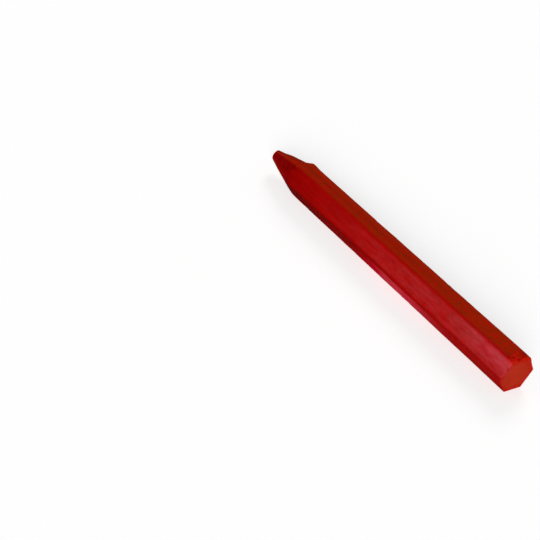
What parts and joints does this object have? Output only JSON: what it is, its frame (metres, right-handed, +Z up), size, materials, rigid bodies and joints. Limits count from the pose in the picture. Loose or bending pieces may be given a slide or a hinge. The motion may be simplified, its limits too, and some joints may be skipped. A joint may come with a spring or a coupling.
{
  "type": "lumber crayon",
  "caption": "Red hexagonal lumber crayon: a solid stick of hard marking wax with a blunt conical nose and a flat butt, for marking timber, stone and metal.",
  "frame": {"origin": "on the floor, below the middle of the crayon's length, with the crayon lying on one of its six flats", "axes": "+X along the crayon from the nose to the butt, +Z up from the flat that it lies on, +Y across two opposite edges"},
  "size_m": [0.1238, 0.012, 0.0105],
  "materials": {
    "red_wax": "pressed hard wax, satin on the flats with a faint pale bloom and fine lengthwise drag lines"
  },
  "bodies": {
    "root": {"hex_barrel": "red_wax", "marking_nose": "red_wax"}
  },
  "joints": []
}
